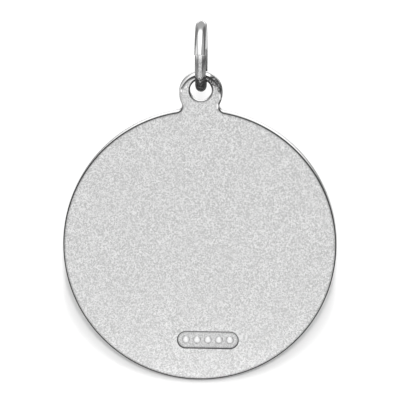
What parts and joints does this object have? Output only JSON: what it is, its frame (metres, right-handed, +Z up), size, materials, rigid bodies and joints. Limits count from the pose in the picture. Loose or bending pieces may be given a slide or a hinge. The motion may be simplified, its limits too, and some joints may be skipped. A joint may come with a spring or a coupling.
{
  "type": "religious medal pendant",
  "caption": "Round struck silver medal that hangs by an ear from a jump ring, with a plain satin back and a rayed cross in a beaded rim on its front.",
  "frame": {"origin": "the point inside the top of the jump ring where a chain or cord bears", "axes": "+Z up the hanging pendant, +Y out of the medal's relief front, so that its plain back faces -Y, and +X to the right as the back is seen"},
  "size_m": [0.025, 0.0064, 0.0331],
  "materials": {
    "satin_silver": "sandblasted satin silver with polished edges",
    "polished_silver": "polished silver wire"
  },
  "bodies": {
    "ring": {"jump_ring": "polished_silver"},
    "medal": {"medal": "satin_silver"}
  },
  "joints": [
    {"name": "medal_swing", "type": "hinge", "parent": "ring", "child": "medal", "pos_m": [0, 0, -0.005], "axis": [0, 1, 0], "range_deg": [-112, 112]}
  ]
}
